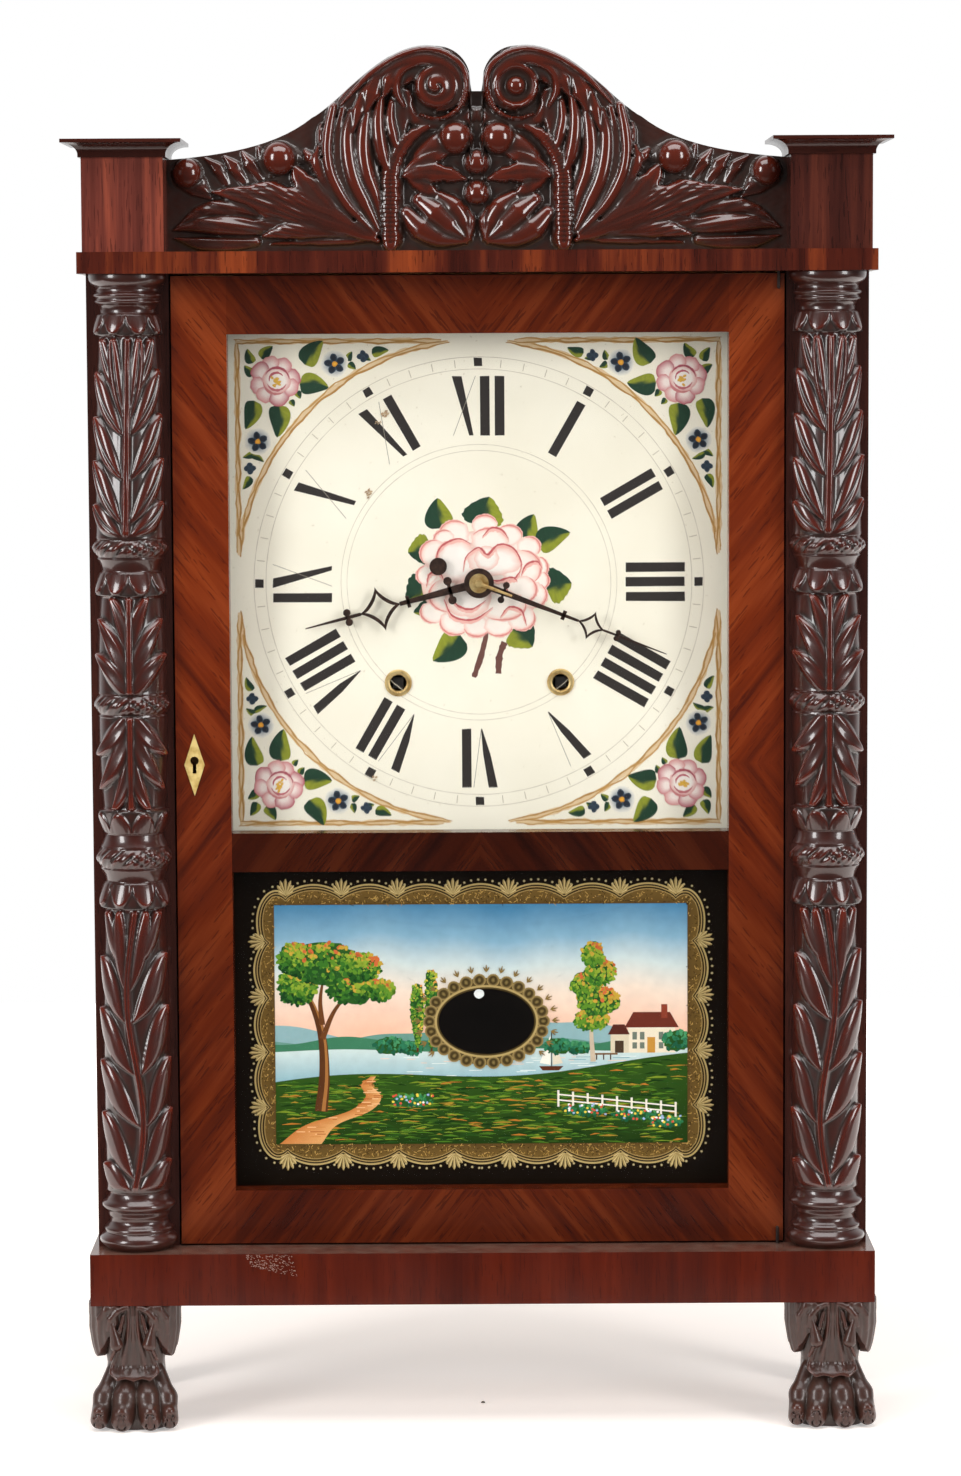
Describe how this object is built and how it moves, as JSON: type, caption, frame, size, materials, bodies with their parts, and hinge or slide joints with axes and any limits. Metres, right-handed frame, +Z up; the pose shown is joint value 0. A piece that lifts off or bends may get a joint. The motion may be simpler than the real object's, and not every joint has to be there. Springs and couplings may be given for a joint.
{
  "type": "column shelf clock",
  "caption": "Wooden shelf clock with carved half columns, scrolled crest, paw feet, a door with dial glass over a painted tablet, and a weight-driven wooden movement.",
  "frame": {"origin": "middle of the clock's box on the surface it stands on", "axes": "+Z up, +X to the viewer's right, the dial faces -Y"},
  "size_m": [0.4592, 0.1317, 0.7806],
  "materials": {
    "mahogany": "polished shellac over figured veneer",
    "carved_mahogany": "dark polished shellac on carving",
    "pine": "bare",
    "cherry": "bare, turned and cut",
    "oak": "bare",
    "dial_paint": "painted ivory ground",
    "brass": "aged",
    "cast_iron": "rough casting",
    "blackened_iron": "blackened, satin",
    "steel": "drawn wire",
    "dial_glass": "clear old glass",
    "tablet_glass": "painted behind",
    "cord": "linen cord",
    "bone": "polished bone"
  },
  "bodies": {
    "case": {"base_frame": "mahogany", "bottom_board": "pine", "glue_blocks": "pine", "paw_feet": "carved_mahogany", "rear_feet": "carved_mahogany", "case_sides": "mahogany", "column_stiles": "mahogany", "columns": "carved_mahogany", "top_rail": "mahogany", "top_board": "pine", "back_board": "pine", "plinth_blocks": "mahogany", "plinth_caps": "carved_mahogany", "crest_splat": "carved_mahogany", "case_rails": "pine", "dial_board": "dial_paint", "dial_grommets": "brass", "dial_pins": "pine", "gong_base": "cast_iron", "gong_wire": "steel", "pulley_pins": "steel", "plate_front": "oak", "plate_back": "oak", "plate_pillars": "cherry", "movement_studs": "steel", "cord_runs": "cord", "time_cord_drop": "cord", "strike_cord_drop": "cord"},
    "door": {"door_stiles": "mahogany", "door_rails": "mahogany", "dial_glass": "dial_glass", "tablet_glass": "tablet_glass", "glazing_strips": "carved_mahogany", "hinge_pintles": "blackened_iron", "lock_case": "brass", "escutcheon": "bone"},
    "bolt": {"lock_bolt": "brass"},
    "pendulum": {"pendulum_rod": "steel", "pendulum_bob": "brass"},
    "verge": {"verge": "steel"},
    "time_great": {"time_great_wheel": "cherry"},
    "time_drum": {"time_drum": "cherry"},
    "time_second": {"time_second_wheel": "cherry"},
    "time_third": {"time_third_wheel": "cherry"},
    "escape": {"escape_wheel": "cherry"},
    "minute": {"minute_arbor": "brass", "minute_hand": "blackened_iron"},
    "hour": {"hour_wheel": "cherry", "hour_hand": "blackened_iron"},
    "time_pulley": {"time_pulley": "cherry"},
    "time_weight": {"time_weight": "cast_iron"},
    "strike_great": {"strike_great_wheel": "cherry"},
    "strike_drum": {"strike_drum": "cherry"},
    "strike_second": {"strike_second_wheel": "cherry"},
    "strike_third": {"strike_third_wheel": "cherry"},
    "fly": {"fly": "steel"},
    "count": {"count_wheel": "cherry"},
    "hammer": {"strike_hammer": "steel"},
    "strike_pulley": {"strike_pulley": "cherry"},
    "strike_weight": {"strike_weight": "cast_iron"}
  },
  "joints": [
    {"name": "door_hinge", "type": "hinge", "parent": "case", "child": "door", "pos_m": [0.1683, -0.0364, 0.377], "axis": [0, 0, 1], "range_deg": [0, 120]},
    {"name": "lock_bolt_slide", "type": "slide", "parent": "door", "child": "bolt", "axis": [-1, 0, 0], "range_m": [0, 0.005]},
    {"name": "pendulum_swing", "type": "hinge", "parent": "case", "child": "pendulum", "pos_m": [0.016, 0.002, 0.583], "axis": [0, 1, 0], "range_deg": [-3, 3]},
    {"name": "verge_swing", "type": "hinge", "parent": "case", "child": "verge", "pos_m": [0.016, 0.006, 0.562], "axis": [0, 1, 0], "range_deg": [-4.6, 4.6]},
    {"name": "escape_turn", "type": "hinge", "parent": "case", "child": "escape", "pos_m": [0.016, 0.03, 0.533], "axis": [0, 1, 0], "continuous": true},
    {"name": "time_third_turn", "type": "hinge", "parent": "case", "child": "time_third", "pos_m": [0.02894, 0.03, 0.50387], "axis": [0, 1, 0], "continuous": true},
    {"name": "time_second_turn", "type": "hinge", "parent": "case", "child": "time_second", "pos_m": [0.03206, 0.03, 0.46274], "axis": [0, 1, 0], "continuous": true},
    {"name": "time_great_turn", "type": "hinge", "parent": "case", "child": "time_great", "pos_m": [0.0463, 0.03, 0.421], "axis": [0, 1, 0], "continuous": true},
    {"name": "minute_turn", "type": "hinge", "parent": "case", "child": "minute", "pos_m": [0, 0.03, 0.478], "axis": [0, 1, 0], "continuous": true},
    {"name": "hour_turn", "type": "hinge", "parent": "case", "child": "hour", "pos_m": [0, 0.03, 0.478], "axis": [0, 1, 0], "continuous": true},
    {"name": "time_weight_slide", "type": "slide", "parent": "case", "child": "time_weight", "axis": [0, 0, 1], "range_m": [0, 0.3946], "deforming": ["time_cord_drop"]},
    {"name": "time_wind", "type": "hinge", "parent": "time_great", "child": "time_drum", "pos_m": [0.0463, 0.03, 0.421], "axis": [0, -1, 0], "range_deg": [0, 1350.4]},
    {"name": "time_pulley_turn", "type": "hinge", "parent": "case", "child": "time_pulley", "pos_m": [0.16865, 0.0313, 0.6662], "axis": [0, -1, 0], "range_deg": [0, 1350.4]},
    {"name": "fly_turn", "type": "hinge", "parent": "case", "child": "fly", "pos_m": [-0.016, 0.03, 0.533], "axis": [0, 1, 0], "continuous": true},
    {"name": "strike_third_turn", "type": "hinge", "parent": "case", "child": "strike_third", "pos_m": [-0.02894, 0.03, 0.50387], "axis": [0, 1, 0], "continuous": true},
    {"name": "strike_second_turn", "type": "hinge", "parent": "case", "child": "strike_second", "pos_m": [-0.03206, 0.03, 0.46274], "axis": [0, 1, 0], "continuous": true},
    {"name": "strike_great_turn", "type": "hinge", "parent": "case", "child": "strike_great", "pos_m": [-0.0463, 0.03, 0.421], "axis": [0, 1, 0], "continuous": true},
    {"name": "count_turn", "type": "hinge", "parent": "case", "child": "count", "pos_m": [-0.00862, 0.03, 0.49398], "axis": [0, 1, 0], "continuous": true},
    {"name": "hammer_lift", "type": "hinge", "parent": "case", "child": "hammer", "pos_m": [-0.056, 0.03, 0.376], "axis": [0, 1, 0], "range_deg": [0, 15]},
    {"name": "strike_weight_slide", "type": "slide", "parent": "case", "child": "strike_weight", "axis": [0, 0, 1], "range_m": [0, 0.3946], "deforming": ["strike_cord_drop"]},
    {"name": "strike_wind", "type": "hinge", "parent": "strike_great", "child": "strike_drum", "pos_m": [-0.0463, 0.03, 0.421], "axis": [0, 1, 0], "range_deg": [0, 1350.4]},
    {"name": "strike_pulley_turn", "type": "hinge", "parent": "case", "child": "strike_pulley", "pos_m": [-0.16865, 0.0313, 0.6662], "axis": [0, 1, 0], "range_deg": [0, 1350.4]}
  ],
  "couplings": [
    {"joint": "verge_swing", "follows": "pendulum_swing", "ratio": 1.525},
    {"joint": "time_third_turn", "follows": "escape_turn", "ratio": -0.13333},
    {"joint": "time_second_turn", "follows": "escape_turn", "ratio": 0.013333},
    {"joint": "time_great_turn", "follows": "escape_turn", "ratio": -0.0016667},
    {"joint": "minute_turn", "follows": "escape_turn", "ratio": -0.013333},
    {"joint": "hour_turn", "follows": "escape_turn", "ratio": -0.0011111},
    {"joint": "time_wind", "follows": "time_weight_slide", "rad_per_m": 59.702},
    {"joint": "time_pulley_turn", "follows": "time_weight_slide", "rad_per_m": 59.702},
    {"joint": "strike_third_turn", "follows": "fly_turn", "ratio": -0.13333},
    {"joint": "strike_second_turn", "follows": "fly_turn", "ratio": 0.013333},
    {"joint": "strike_great_turn", "follows": "fly_turn", "ratio": -0.0016667},
    {"joint": "count_turn", "follows": "fly_turn", "ratio": -0.0010256},
    {"joint": "strike_wind", "follows": "strike_weight_slide", "rad_per_m": 59.702},
    {"joint": "strike_pulley_turn", "follows": "strike_weight_slide", "rad_per_m": 59.702}
  ]
}
